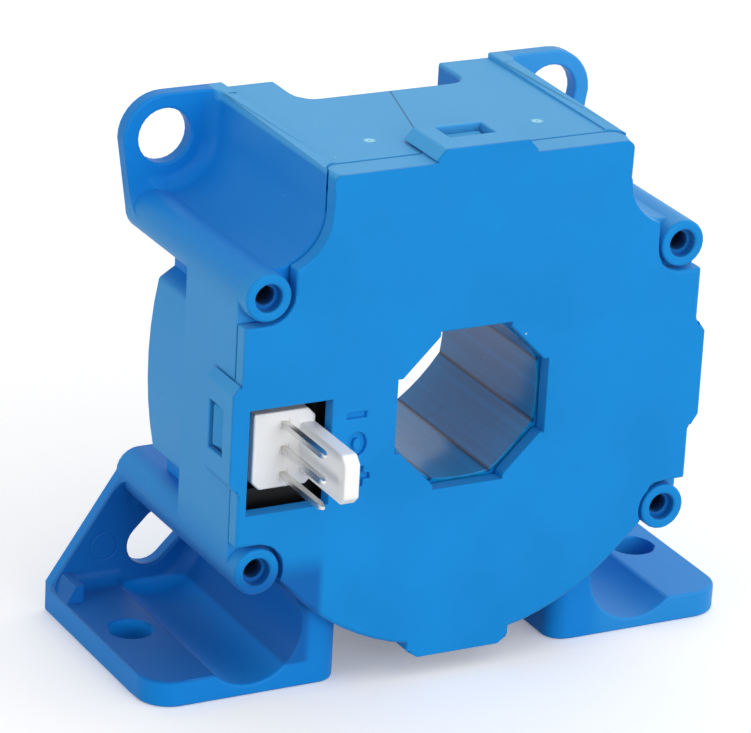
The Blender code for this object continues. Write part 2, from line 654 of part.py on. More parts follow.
def make_connector_header(look):
    """Friction-lock header: base block with chamfered corners and one tall lock wall."""
    left = -HEADER_X - HEADER_WIDTH / 2
    right = -HEADER_X + HEADER_WIDTH / 2
    bottom = HEADER_Z - HEADER_HEIGHT / 2
    top = HEADER_Z + HEADER_HEIGHT / 2
    chamfer = HEADER_CHAMFER
    outline = [(left + chamfer, bottom), (right - chamfer, bottom), (right, bottom + chamfer),
               (right, top - chamfer), (right - chamfer, top), (left, top), (left, bottom + chamfer)]
    header = prism("connector_header", outline, HEADER_SETBACK, HEADER_BACK)
    tip = HEADER_SETBACK - LOCK_REACH
    low = HEADER_Z - LOCK_WIDTH / 2
    high = HEADER_Z + LOCK_WIDTH / 2
    form = bmesh.new()
    side = [(HEADER_SETBACK + OVERLAP, low), (HEADER_SETBACK + OVERLAP, high),
            (tip + chamfer, high), (tip, high - chamfer), (tip, low + chamfer), (tip + chamfer, low)]
    rows = [[form.verts.new((x, y, z)) for y, z in side] for x in (right - LOCK_THICKNESS, right)]
    form.faces.new(rows[0])
    form.faces.new(list(reversed(rows[1])))
    for i in range(len(side)):
        j = (i + 1) % len(side)
        form.faces.new((rows[0][i], rows[1][i], rows[1][j], rows[0][j]))
    join(header, mesh_object("lock_wall", form))
    half = PIN_SIZE / 2 + PIN_FIT
    for number, (x, z) in enumerate(pin_places(), 1):
        cut(header, box("pin_hole_%d" % number, x - half, x + half, HEADER_SETBACK - OVERLAP,
                        HEADER_BACK + OVERLAP, z - half, z + half))
    return finish(header, look, smooth=False)


def make_pins(look):
    """Square pins with tapered tips, from in front of the header to behind the board."""
    front = HEADER_SETBACK - PIN_REACH
    back = BOARD_BACK + PIN_TAIL
    half = PIN_SIZE / 2
    tip = half - PIN_TIP / 2
    stations = ((front, tip), (front + 2 * PIN_TIP, half), (back - PIN_TIP, half), (back, tip))
    for number, (x, z) in enumerate(pin_places(), 1):
        form = bmesh.new()
        loops = [[form.verts.new((x + i * h, y, z + k * h)) for i, k in ((-1, -1), (1, -1), (1, 1), (-1, 1))]
                 for y, h in stations]
        for first, second in zip(loops, loops[1:]):
            for i in range(4):
                j = (i + 1) % 4
                form.faces.new((first[i], first[j], second[j], second[i]))
        form.faces.new(loops[0])
        form.faces.new(list(reversed(loops[-1])))
        finish(mesh_object("connector_pin_%d" % number, form), look, smooth=False)


def make_circuit_board(look):
    """Board that fills the case's section, with holes for the bore tube and the pins."""
    board = cavity_form("circuit_board", BOARD_FRONT, BOARD_BACK, GAP)
    cut(board, bore_form("board_bore", BOARD_FRONT - OVERLAP, BOARD_BACK + OVERLAP, TUBE_WALL + GAP))
    for number, place in enumerate(pin_places(), 1):
        cut(board, rod("board_pin_hole_%d" % number, place, BOARD_HOLE_RADIUS, BOARD_FRONT - OVERLAP,
                       BOARD_BACK + OVERLAP))
    return finish(board, look)


def make_potting(look):
    """Resin layer in front of the board, kept clear of the header."""
    back = BOARD_FRONT - GAP
    front = back - POTTING_THICKNESS
    potting = cavity_form("potting_compound", front, back, GAP)
    half_width = HEADER_WIDTH / 2 + GAP
    half_height = HEADER_HEIGHT / 2 + GAP
    cut(potting, bore_form("potting_bore", front - OVERLAP, back + OVERLAP, TUBE_WALL + GAP),
        box("header_clearance", -HEADER_X - half_width, -HEADER_X + half_width, front - OVERLAP,
            back + OVERLAP, HEADER_Z - half_height, HEADER_Z + half_height))
    return finish(potting, look)


def rect_section(skin):
    """Section of a ring inside the winding's outer section, smaller all round by a skin."""
    inner = WINDING_INNER + skin
    outer = WINDING_OUTER - skin
    front = WINDING_FRONT + skin
    back = WINDING_BACK - skin
    return inner, outer, front, back


def make_core(look):
    """Strip-wound magnetic ring with one air gap at the top."""
    inner, outer, front, back = rect_section(CORE_SKIN)
    middle = (inner + outer) / 2
    opening = math.degrees(math.asin(AIR_GAP / 2 / middle))
    section = [(inner, front), (outer, front), (outer, back), (inner, back)]
    return finish(ring("magnetic_core", opening, section), look)


def make_core_case(look):
    """Two insulating channels that close round the core from the front and from the back."""
    skin = WINDING_THICKNESS + GAP
    inner, outer, front, back = rect_section(skin)
    wall = CASE_WALL
    middle = (front + back) / 2
    lip = middle - GAP / 2
    front_section = [(inner, front), (outer, front), (outer, lip), (outer - wall, lip),
                     (outer - wall, front + wall), (inner + wall, front + wall), (inner + wall, lip),
                     (inner, lip)]
    rear_section = [(r, front + back - y) for r, y in front_section]
    finish(ring("core_case_front", CASE_OPENING, front_section), look)
    finish(ring("core_case_rear", CASE_OPENING, rear_section), look)


def make_winding(look):
    """Toroidal secondary winding: a ribbed sleeve round the core case, open at the air gap."""
    inner, outer, front, back = rect_section(0.0)
    core_side = rect_section(WINDING_THICKNESS)
    form = bmesh.new()
    span = 360.0 - 2 * WINDING_OPENING
    steps = 2 * TURN_RIDGES
    loops = []
    for i in range(steps + 1):
        turn = math.radians(90.0 + WINDING_OPENING + span * i / steps)
        relief = TURN_RELIEF * (i % 2)
        outside = [(inner + relief, front + relief), (outer - relief, front + relief),
                   (outer - relief, back - relief), (inner + relief, back - relief)]
        inside = [(core_side[0], core_side[2]), (core_side[1], core_side[2]),
                  (core_side[1], core_side[3]), (core_side[0], core_side[3])]
        loops.append([[form.verts.new((r * math.cos(turn), y, r * math.sin(turn))) for r, y in section]
                      for section in (outside, inside)])
    for first, second in zip(loops, loops[1:]):
        for skin in (0, 1):
            for i in range(4):
                j = (i + 1) % 4
                form.faces.new((first[skin][i], first[skin][j], second[skin][j], second[skin][i]))
    for outside, inside in (loops[0], loops[-1]):
        for i in range(4):
            j = (i + 1) % 4
            form.faces.new((outside[i], outside[j], inside[j], inside[i]))
    finish(mesh_object("secondary_winding", form), look, smooth=False)


def make_winding_leads(look):
    """Two wire ends beside the winding's ends, brought forward to the board."""
    radius = WINDING_OUTER - WINDING_THICKNESS + WIRE_RADIUS + GAP / 2
    turn = math.degrees((GAP + WIRE_RADIUS) / radius)
    for number, side in ((1, -1), (2, 1)):
        angle = math.radians(90.0 - side * (WINDING_OPENING - turn))
        spot = (radius * math.cos(angle), radius * math.sin(angle))
        finish(rod("winding_lead_%d" % number, spot, WIRE_RADIUS, PARTS_FRONT,
                   (WINDING_FRONT + WINDING_BACK) / 2), look)


def make_hall_sensor(look):
    """Hall sensor in the core's air gap, its four leads brought forward to the board."""
    inner, outer, front, back = rect_section(CORE_SKIN)
    level = (inner + outer) / 2
    half = AIR_GAP / 2 - GAP
    middle = (front + back) / 2
    nose = middle - SENSOR_DEPTH / 2
    sensor = box("hall_sensor", -half, half, nose, middle + SENSOR_DEPTH / 2,
                 level - SENSOR_HEIGHT / 2, level + SENSOR_HEIGHT / 2)
    for number in range(4):
        z = level + (number - 1.5) * LEAD_PITCH
        join(sensor, box("sensor_lead_%d" % (number + 1), -LEAD_SIZE / 2, LEAD_SIZE / 2, PARTS_FRONT,
                         nose + OVERLAP, z - LEAD_SIZE / 2, z + LEAD_SIZE / 2))
    return finish(sensor, look, smooth=False)


def make_block(name, place, size, look):
    """Rectangular part on the board's rear face, size given as width, height and thickness."""
    x, z = place
    width, height, thickness = size
    block = box(name, x - width / 2, x + width / 2, PARTS_FRONT, PARTS_FRONT + thickness,
                z - height / 2, z + height / 2)
    return finish(block, look, smooth=False)


def make_leaded_chip(name, place, size, lead_count, pitch, lead_reach, look):
    """Moulded chip on the board's rear face, with flat leads along its two long sides."""
    chip = make_block(name, place, size, look)
    height = size[1] / 2 + lead_reach
    for number in range(lead_count):
        x = place[0] + (number - (lead_count - 1) / 2) * pitch
        join(chip, box("%s_lead_%d" % (name, number + 1), x - LEAD_SIZE / 2, x + LEAD_SIZE / 2,
                       PARTS_FRONT - LEAD_DROP, PARTS_FRONT + LEAD_SIZE / 2, place[1] - height,
                       place[1] + height))
    return chip


def on_parts_circle(angle):
    """Place midway between the bore tube and the case wall, in a direction given in degrees."""
    turn = math.radians(angle)
    return PARTS_CIRCLE * math.cos(turn), PARTS_CIRCLE * math.sin(turn)


def make_electronics(black, can, ceramic):
    """Parts on the board: amplifier, output transistors, diodes, resistors and capacitors."""
    make_leaded_chip("amplifier_ic", on_parts_circle(-90.0), AMPLIFIER_SIZE, 4, AMPLIFIER_PITCH,
                     AMPLIFIER_LEAD, black)
    for number, side in ((1, -1), (2, 1)):
        x, z = on_parts_circle(TRANSISTOR_ANGLE)
        make_leaded_chip("output_transistor_%d" % number, (side * x, z), TRANSISTOR_SIZE, 2,
                         TRANSISTOR_PITCH, TRANSISTOR_LEAD, black)
        x, z = on_parts_circle(DIODE_ANGLE)
        make_block("protection_diode_%d" % number, (side * x, z), DIODE_SIZE, black)
        finish(rod("filter_capacitor_%d" % number, (side * CAN_X, CAN_Z), CAN_RADIUS, PARTS_FRONT,
                   PARTS_FRONT + CAN_LENGTH), can)
        make_block("chip_capacitor_%d" % number, on_parts_circle(side * CERAMIC_ANGLE), CERAMIC_SIZE,
                   ceramic)
    x, z = on_parts_circle(RESISTOR_ANGLE)
    for number in (1, 2, 3, 4):
        place = (x + (number % 2 - 0.5) * RESISTOR_PITCH, z - (number // 3) * RESISTOR_PITCH)
        make_block("chip_resistor_%d" % number, place, RESISTOR_SIZE, black)


for old in list(bpy.data.objects):
    bpy.data.objects.remove(old, do_unlink=True)

pieces = []
BLUE = material("blue_moulding", (0.012, 0.26, 0.72), 0.55)
make_rear_housing(BLUE)
make_front_cover(BLUE)
make_connector_header(material("white_nylon", (0.80, 0.79, 0.75), 0.45))
make_pins(material("tinned_pin", (0.70, 0.69, 0.66), 0.25, 1.0))
make_circuit_board(material("board_green", (0.03, 0.16, 0.06), 0.5))
make_potting(material("black_resin", (0.008, 0.008, 0.009), 0.4))
make_core(material("core_steel", (0.45, 0.46, 0.48), 0.35, 1.0))
make_core_case(material("case_plastic", (0.05, 0.05, 0.055), 0.6))
COPPER = material("enamelled_copper", (0.55, 0.22, 0.09), 0.35, 1.0)
make_winding(COPPER)
make_winding_leads(COPPER)
BLACK = material("black_epoxy", (0.015, 0.015, 0.016), 0.5)
make_hall_sensor(BLACK)
make_electronics(BLACK, material("capacitor_can", (0.60, 0.61, 0.63), 0.3, 1.0),
                 material("ceramic_tan", (0.42, 0.30, 0.18), 0.5))

assembly = bpy.data.objects.new("assembly", None)
bpy.context.scene.collection.objects.link(assembly)
assembly.location = (0.0, (FRONT_REACH - BODY_DEPTH) / 2, BASE_DROP)
for piece in list(bpy.data.objects):
    if piece is not assembly:
        piece.parent = assembly
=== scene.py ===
# %% [markdown]
# # A current transformer in blue moulded plastic
#
# The object measures the current in a conductor that runs through its faceted hole. What you see is a
# moulded case with four screw recesses, a cover that clips on with four tabs, and a small white pin
# header in a window. The frame holds every part at its true size, so this lesson only adds what a
# plain solid lacks: softened edges, engraved signs, mould marks, and a finish for each material.

import math

import bmesh
import bpy
from mathutils import Matrix, Vector
from mathutils.bvhtree import BVHTree


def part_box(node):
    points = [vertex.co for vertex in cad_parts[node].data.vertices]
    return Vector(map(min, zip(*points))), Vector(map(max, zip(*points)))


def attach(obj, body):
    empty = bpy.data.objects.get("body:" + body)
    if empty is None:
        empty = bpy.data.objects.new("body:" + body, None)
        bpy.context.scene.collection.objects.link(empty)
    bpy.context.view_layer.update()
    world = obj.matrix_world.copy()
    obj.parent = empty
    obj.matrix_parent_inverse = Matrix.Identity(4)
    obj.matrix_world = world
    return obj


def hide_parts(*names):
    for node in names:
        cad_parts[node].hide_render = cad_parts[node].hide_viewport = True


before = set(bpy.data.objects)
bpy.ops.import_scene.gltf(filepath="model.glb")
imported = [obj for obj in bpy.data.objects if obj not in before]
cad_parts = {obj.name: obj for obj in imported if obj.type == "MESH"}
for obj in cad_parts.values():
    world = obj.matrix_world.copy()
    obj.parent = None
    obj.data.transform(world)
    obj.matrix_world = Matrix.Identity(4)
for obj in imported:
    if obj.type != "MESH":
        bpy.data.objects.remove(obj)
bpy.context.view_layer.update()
MM = 0.001
print("parts in the frame:", len(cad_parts))

# %% [markdown]
# ## The camera
#
# The picture was taken with a long lens, from the left and a little above. The lens, the direction
# and the slight roll were found by fitting known points of the part to the picture. The camera's
# three axes are built as vectors, and a matrix made of them places it without any angles to chase.

# %% Camera
IMAGE_WIDTH = 751
FOCAL_PIXELS = 4701.9
SENSOR_WIDTH = 36.0
AZIMUTH = math.radians(-28.45)
ELEVATION = math.radians(21.61)
ROLL = math.radians(3.17)
AIM_POINT = Vector((-10.5, -9.85, 32.55)) * MM
CAMERA_DISTANCE = 431.4 * MM


def camera_axes(azimuth, elevation, roll):
    """Right, up and backward directions of a camera that looks at the part."""
    back = Vector((math.sin(azimuth) * math.cos(elevation),
                   -math.cos(azimuth) * math.cos(elevation),
                   math.sin(elevation)))
    level = Vector((0, 0, 1)).cross(back).normalized()
    upright = back.cross(level)
    right = level * math.cos(roll) + upright * math.sin(roll)
    return right, back.cross(right), back


right, up, back = camera_axes(AZIMUTH, ELEVATION, ROLL)
lens = bpy.data.cameras.new("photo_camera")
lens.sensor_fit = "HORIZONTAL"
lens.sensor_width = SENSOR_WIDTH
lens.lens = FOCAL_PIXELS / IMAGE_WIDTH * SENSOR_WIDTH
lens.clip_start = 0.01
lens.clip_end = 20.0
camera = bpy.data.objects.new("photo_camera", lens)
turn = Matrix((right, up, back)).transposed().to_4x4()
camera.matrix_world = Matrix.Translation(AIM_POINT + back * CAMERA_DISTANCE) @ turn
bpy.context.scene.collection.objects.link(camera)
bpy.context.scene.camera = camera
bpy.context.scene.view_settings.view_transform = "Standard"
print("lens %.1f mm" % lens.lens)

# %% [markdown]
# ## Shader maths as plain Python
#
# A procedural finish is a small calculation that runs at every point of a surface. Written as loose
# nodes it is hard to read, so one class wraps a socket and turns `+`, `-`, `*` and `/` into Math
# nodes. A second class adds every other kind of node through one method, and a third holds a material.

# %% Sockets that can be added and multiplied


class Value:
    """One output socket of a node tree, usable in sums."""

    def __init__(self, graph, socket):
        self.graph = graph
        self.socket = socket

    def __add__(self, other):
        return self.graph.maths("ADD", self, other)

    __radd__ = __add__

    def __mul__(self, other):
        return self.graph.maths("MULTIPLY", self, other)

    __rmul__ = __mul__

    def __sub__(self, other):
        return self.graph.maths("SUBTRACT", self, other)

    def __rsub__(self, other):
        return self.graph.maths("SUBTRACT", other, self)

    def __truediv__(self, other):
        return self.graph.maths("DIVIDE", self, other)

    def __abs__(self):
        return self.graph.maths("ABSOLUTE", self)

    def rise(self, low, high):
        """0 below low, 1 above high, and a soft step between; high may be the smaller one."""
        settings = {"interpolation_type": "SMOOTHSTEP"}
        values = {"Value": self, "From Min": min(low, high), "From Max": max(low, high)}
        if low > high:
            values.update({"To Min": 1.0, "To Max": 0.0})
        return self.graph.node("ShaderNodeMapRange", settings, values)


class Graph:
    """A node tree of a material or of the world."""

    def __init__(self, owner):
        owner.use_nodes = True
        self.tree = owner.node_tree

    def node(self, kind, settings, values, output=0):
        """Add a node: its settings first, then the values or links of its sockets."""
        made = self.tree.nodes.new(kind)
        for label, value in settings.items():
            setattr(made, label, value)
        for label, value in values.items():
            if isinstance(value, Value):
                self.tree.links.new(value.socket, made.inputs[label])
            else:
                made.inputs[label].default_value = value
        return Value(self, made.outputs[output])

    def maths(self, operation, *terms):
        """A Math node."""
        return self.node("ShaderNodeMath", {"operation": operation}, dict(enumerate(terms)))

    def part_of(self, vector, name):
        """One part of a vector: X, Y or Z."""
        return self.node("ShaderNodeSeparateXYZ", {}, {0: vector}, name)

    def seen_directly(self):
        """1 for what the camera sees, also in a reflection or through glass; 0 for the light itself."""
        camera, shine, through = (self.node("ShaderNodeLightPath", {}, {}, label) for label in
                                  ("Is Camera Ray", "Is Glossy Ray", "Is Transmission Ray"))
        return self.maths("MAXIMUM", camera, self.maths("MAXIMUM", shine, through))


class Finish(Graph):
    """A material in the making: one Principled shader and the nodes that feed it."""

    def __init__(self, name, **constants):
        self.material = bpy.data.materials.new(name)
        super().__init__(self.material)
        self.shader = self.tree.nodes["Principled BSDF"]
        for label, value in constants.items():
            self.shader.inputs[label.replace("_", " ")].default_value = value
        self.place = self.node("ShaderNodeTexCoord", {}, {}, "Object")

    def noise(self, scale, detail=2.0, stretch=(1.0, 1.0, 1.0)):
        """Noise of a given number of grains per metre, stretched on request; about 0.5 on average."""
        place = self.node("ShaderNodeMapping", {}, {"Vector": self.place, "Scale": stretch})
        return self.node("ShaderNodeTexNoise", {}, {"Vector": place, "Scale": scale, "Detail": detail})

    def mix(self, share, first, second):
        """Blend of two colours."""
        settings = {"data_type": "RGBA"}
        return self.node("ShaderNodeMix", settings, {0: share, 6: first, 7: second}, 2)

    def distance(self, point):
        """Distance of the surface from a point of the part."""
        return self.node("ShaderNodeVectorMath", {"operation": "DISTANCE"}, {0: self.place, 1: point},
                         "Value")

    def axis(self, name):
        """One coordinate of the surface: X, Y or Z."""
        return self.part_of(self.place, name)

    def feed(self, label, value):
        """Link a value to the shader."""
        self.tree.links.new(value.socket, self.shader.inputs[label])

    def relief(self, height):
        """Use a height in metres as surface relief."""
        self.feed("Normal", self.node("ShaderNodeBump", {}, {"Strength": 1.0, "Distance": 1.0,
                                                             "Height": height}))


print("shader helpers ready")

# %% [markdown]
# ## The blue moulding
#
# Case and cover are moulded in one blue plastic with a fine spark-eroded grain. Seen closely it is
# not one blue: the pigment clouds a little, pale dust sits on it, and where the mould was polished,
# in the through-hole, it shines and shows long drag lines. All of that depends only on the place on
# the part, so one finish serves both pieces.

# %% Blue plastic
BORE_HEIGHT = 27.1 * MM
BORE_EDGE = 8.5 * MM
TUBE_FRONT = -8.2 * MM
BLUE = (0.0020, 0.262, 0.700, 1.0)
# The deeper blue below serves the pigment's clouds, and also paints shade in the middle of each dimple.
DEEP_BLUE_AND_SHADE = (0.0015, 0.240, 0.655, 1.0)
HOUSING_BLUE = (0.0012, 0.226, 0.680, 1.0)
# Painted sheen: the paler blue below is painted on the lit top and sides of the housing.
PAINTED_SHEEN_BLUE = (0.060, 0.385, 0.755, 1.0)
# Painted shade: the deep blue below is painted into the recess above the left foot and round the screw mouths.
PAINTED_SHADE_BLUE = (0.0005, 0.115, 0.430, 1.0)
# Painted shade: the darker blues below are painted inside the through-hole, and the darkest into its corners.
BORE_SHADED_BLUE = (0.0020, 0.250, 0.580, 1.0)
BORE_SHADE = (0.0015, 0.180, 0.430, 1.0)
CREASE_SHADE = (0.0010, 0.030, 0.110, 1.0)
DUST = (0.62, 0.74, 0.80, 1.0)
SOOT = (0.004, 0.03, 0.08, 1.0)

blue = Finish("blue_plastic", IOR=1.5, Specular_IOR_Level=0.16, Coat_Roughness=0.16, Coat_IOR=1.6,
              Sheen_Weight=0.06, Sheen_Roughness=0.45)
clouds = blue.noise(90.0, 3.0)
grain = blue.noise(3600.0, 1.0)
pigment = blue.mix(clouds.rise(0.35, 0.65), BLUE, DEEP_BLUE_AND_SHADE)

# %% [markdown]
# Behind the cover's plate the blue is a shade deeper. On the housing's top, at both sides, round the right
# screws and on the right foot the blue is painted paler: painted sheen where the light falls. The recess
# above the left foot is painted a deeper blue: painted shade.

# %% A deeper blue behind the cover, painted sheen and painted shade
across = blue.axis("X")
depth = blue.axis("Y")
level = blue.axis("Z")
pigment = blue.mix(depth.rise(TUBE_FRONT, TUBE_FRONT + 0.2 * MM), pigment, HOUSING_BLUE)
behind_face = depth.rise(-9.75 * MM, -9.45 * MM)
between = abs(across).rise(16.2 * MM, 15.7 * MM)
above = level.rise(51.0 * MM, 51.5 * MM) * between
beside = abs(across).rise(22.0 * MM, 23.4 * MM) * level.rise(12 * MM, 18 * MM) * level.rise(44 * MM, 38 * MM)
right_ear = across.rise(15.8 * MM, 16.4 * MM) * level.rise(38 * MM, 42 * MM)
right_foot = across.rise(15 * MM, 18 * MM) * level.rise(13 * MM, 9 * MM) * 0.4
# Painted sheen: the lit top, sides, right screw recess and right foot are painted paler.
painted_sheen = blue.maths("MAXIMUM", above, (beside + right_ear + right_foot) * 0.65) * behind_face
# Painted shade: the recess above the left foot is painted a deeper blue.
left_recess_shade = across.rise(-14.5 * MM, -15.5 * MM) * level.rise(15 * MM, 12 * MM) * level.rise(2.3 * MM, 2.7 * MM)
pigment = blue.mix(left_recess_shade * depth.rise(15.6 * MM, 15.2 * MM) * 0.9, pigment, PAINTED_SHADE_BLUE)
pigment = blue.mix(painted_sheen * (0.8 + clouds * 0.4), pigment, PAINTED_SHEEN_BLUE)

# %% [markdown]
# The hole is told apart by its distance from the bore axis, which needs no extra mesh, and is painted a
# darker blue, as painted shade. Its drag lines are noise squeezed hard along the hole, so that they run
# from front to back; they are relief, and in the colour darker streaks of painted shade. The eight corners
# of the hole get painted shade as dark hair lines: the angle round the axis, counted in eighths of a turn,
# is half way at each.

# %% Polished through-hole
height = level - BORE_HEIGHT
bore_distance = blue.maths("SQRT", across * across + height * height)
in_bore = bore_distance.rise(BORE_EDGE, BORE_EDGE - 0.2 * MM) * depth.rise(TUBE_FRONT, TUBE_FRONT + 0.1 * MM)
drag_lines = blue.noise(1100.0, 3.0, stretch=(1.0, 0.02, 1.0))
blue.feed("Coat Weight", in_bore * 0.36)
blue.feed("Roughness", 0.48 - in_bore * 0.2 + (clouds - 0.5) * 0.1)
# Painted shade: the hole is painted a darker blue, with darker streaks along the drag lines.
bore_colour = blue.mix(drag_lines.rise(0.66, 0.40) * 0.7, BORE_SHADED_BLUE, BORE_SHADE)
# Painted shade: dark hair lines are painted into the eight corners of the hole.
eighths = blue.maths("ARCTAN2", height, across) / (math.pi / 4) + 8
from_corner = abs(blue.maths("FRACT", eighths) - 0.5) * (math.pi / 4) * bore_distance
bore_colour = blue.mix(from_corner.rise(0.34 * MM, 0.08 * MM) * 0.9, bore_colour, CREASE_SHADE)
pigment = blue.mix(in_bore, pigment, bore_colour)

# %% [markdown]
# Pale dust and a few dark specks lie on every real moulding. A Voronoi pattern gives each cell one
# point and one random colour, and that colour decides how large the speck is, or whether there is one.


# %% Dust
def specks(scale, rarity, size):
    """1 on small round specks, of which only a share of the cells holds one."""
    cell = {"Vector": blue.place, "Scale": scale}
    nearness = blue.node("ShaderNodeTexVoronoi", {}, cell, "Distance")
    chance = blue.node("ShaderNodeTexVoronoi", {}, cell, "Color")
    chance = blue.node("ShaderNodeSeparateColor", {}, {"Color": chance}, "Red")
    radius = chance.rise(rarity, 1.0) * size
    return (radius - nearness).rise(0.0, 0.03)


pigment = blue.mix(specks(380.0, 0.80, 0.055) * 0.6, pigment, DUST)
pigment = blue.mix(specks(210.0, 0.82, 0.035) * 0.6, pigment, SOOT)

# %% [markdown]
# Moulded parts carry marks of the tool that made them: a round print where an ejector pin pushed, a
# hair line where two halves of the tool met, and small smooth dimples. They are a hundredth of a
# millimetre deep, so relief in the finish shows them better than geometry would. The mouth and the inside
# of each screw bore are painted darker, as painted shade, and each dimple gets a painted highlight, a pale
# glint with painted shade in its middle.

# %% Marks of the mould, painted shade and painted highlights
SCREW_PLACE = Vector((21.70, 13.507)) * MM
SCREW_BORE = 1.05 * MM
SCREW_MOUTH = 1.35 * MM
COVER_FACE = -9.85 * MM
# Painted shade: the near black below is painted inside each screw bore.
SCREW_HOLE_DARK_SHADE = (0.0005, 0.012, 0.045, 1.0)
EJECTOR_MARKS = [(-25.8, 15.0, 6.6), (25.8, 15.0, 6.6)]
DIMPLES = [(-8.1, -1.85, 51.6), (9.5, -1.95, 51.6)]
# Painted highlight: the pale cyan below is a painted glint on each dimple.
DIMPLE_GLINT = (0.42, 0.86, 0.93, 1.0)
PARTING_START = -2.54 * MM
PARTING_SLOPE = 0.28
PARTING_BLUE = (0.001, 0.075, 0.26, 1.0)

from_screw_x = abs(across) - SCREW_PLACE.x
from_screw_z = abs(height) - SCREW_PLACE.y
from_screw = blue.maths("SQRT", from_screw_x * from_screw_x + from_screw_z * from_screw_z)
# Painted shade: the mouth and the inside of each screw bore are painted darker.
screw_hole_shade = from_screw.rise(SCREW_BORE, SCREW_BORE - 0.1 * MM) * depth.rise(-9.0 * MM, -7.5 * MM)
screw_mouth_shade = from_screw.rise(SCREW_MOUTH + 0.06 * MM, SCREW_MOUTH - 0.04 * MM) * depth.rise(COVER_FACE, -9.7 * MM)
in_screw_bore = depth.rise(8.0 * MM, 6.0 * MM)
pigment = blue.mix(screw_mouth_shade * in_screw_bore * 0.85, pigment, PAINTED_SHADE_BLUE)
pigment = blue.mix(screw_hole_shade * in_screw_bore * 0.9, pigment, SCREW_HOLE_DARK_SHADE)
marks = 0.0
for spot in EJECTOR_MARKS:
    edge = abs(blue.distance([value * MM for value in spot]) - 1.4 * MM)
    marks = marks + edge.rise(0.16 * MM, 0.04 * MM)
for spot in DIMPLES:
    away = blue.distance([value * MM for value in spot])
    # Painted highlight on each dimple: a pale glint, with painted shade in its middle.
    pigment = blue.mix(away.rise(0.74 * MM, 0.26 * MM) * 0.85, pigment, DIMPLE_GLINT)
    pigment = blue.mix(away.rise(0.16 * MM, 0.08 * MM) * 0.7, pigment, DEEP_BLUE_AND_SHADE)
    marks = marks + away.rise(0.7 * MM, 0.1 * MM) * 1.5
on_top = level.rise(51.3 * MM, 51.5 * MM) * depth.rise(-0.4 * MM, 0.0)
line = abs(across - depth * PARTING_SLOPE - PARTING_START).rise(0.12 * MM, 0.04 * MM) * on_top
pigment = blue.mix(line * 0.85, pigment, PARTING_BLUE)
blue.feed("Base Color", pigment)

blue.relief(grain * 0.006 * MM * (1.0 - in_bore) + drag_lines * 0.012 * MM * in_bore - marks * 0.03 * MM)
print("blue plastic:", len(blue.tree.nodes), "nodes")

# %% [markdown]
# ## The other finishes
#
# The header is unfilled nylon: off-white and smooth. Its pins are tin plated. The
# black resin in the window has flowed and set, so it is glossy and slightly wavy. The parts inside
# are seldom seen, but each still gets the surface of its kind.

# %% White nylon
nylon = Finish("white_nylon_finish", IOR=1.53)
warmth = nylon.noise(240.0, 2.0).rise(0.4, 0.7)
nylon.feed("Base Color", nylon.mix(warmth, (1.0, 0.995, 0.985, 1.0), (0.985, 0.975, 0.955, 1.0)))
nylon.feed("Roughness", 0.34 + nylon.noise(700.0) * 0.12)
nylon.relief(nylon.noise(2600.0) * 0.004 * MM)

# %% Tin plating
tin = Finish("tin_plating", Metallic=1.0)
tin_marks = tin.noise(1500.0, 3.0, stretch=(1.0, 0.12, 1.0))
tin.feed("Base Color", tin.mix(tin_marks.rise(0.35, 0.7), (0.80, 0.79, 0.76, 1.0), (0.62, 0.61, 0.59, 1.0)))
tin.feed("Roughness", 0.2 + tin_marks * 0.16)
tin.relief(tin_marks * 0.004 * MM)

# %% Black resin
resin = Finish("black_resin_finish", IOR=1.52)
flow = resin.noise(120.0, 2.0)
resin.feed("Base Color", resin.mix(flow, (0.004, 0.004, 0.004, 1.0), (0.010, 0.010, 0.011, 1.0)))
resin.feed("Roughness", 0.3 + flow * 0.2)
resin.relief(flow * 0.05 * MM)


# %% Finishes of the parts inside
def plain_finish(name, first, second, roughness, scale, depth, metallic=0.0, stretch=(1.0, 1.0, 1.0)):
    """Finish with two close colours, mottled, and a shallow relief of the same pattern."""
    made = Finish(name, Metallic=metallic)
    pattern = made.noise(scale, 3.0, stretch)
    made.feed("Base Color", made.mix(pattern.rise(0.35, 0.65), (*first, 1.0), (*second, 1.0)))
    made.feed("Roughness", roughness + (pattern - 0.5) * 0.15)
    made.relief(pattern * depth)
    return made


board = plain_finish("board_mask", (0.02, 0.13, 0.05), (0.03, 0.17, 0.07), 0.35, 300.0, 0.01 * MM)
strip = plain_finish("core_strip", (0.42, 0.43, 0.45), (0.50, 0.51, 0.53), 0.32, 500.0, 0.01 * MM, 1.0)
channel = plain_finish("case_plastic_finish", (0.04, 0.04, 0.045), (0.06, 0.06, 0.065), 0.6, 900.0,
                       0.01 * MM)
copper = plain_finish("enamelled_wire", (0.50, 0.18, 0.07), (0.62, 0.27, 0.12), 0.3, 1200.0, 0.02 * MM,
                      1.0)
epoxy = plain_finish("chip_epoxy", (0.012, 0.012, 0.013), (0.02, 0.02, 0.022), 0.5, 1800.0, 0.006 * MM)
can = plain_finish("can_metal", (0.58, 0.59, 0.61), (0.66, 0.67, 0.69), 0.28, 400.0, 0.004 * MM, 1.0,
                   (1.0, 0.1, 1.0))
ceramic = plain_finish("capacitor_ceramic", (0.40, 0.28, 0.16), (0.46, 0.33, 0.20), 0.45, 1500.0,
                       0.004 * MM)

FINISHES = {"rear_housing": blue, "front_cover": blue, "connector_header": nylon, "connector_pin": tin,
            "circuit_board": board, "potting_compound": resin, "magnetic_core": strip,
            "core_case": channel, "secondary_winding": copper, "winding_lead": copper,
            "filter_capacitor": can, "chip_capacitor": ceramic}
for name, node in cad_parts.items():
    finish = next((FINISHES[key] for key in FINISHES if name.startswith(key)), epoxy)
    for slot in node.material_slots:
        slot.material = finish.material
print("finishes on", len(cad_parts), "parts")

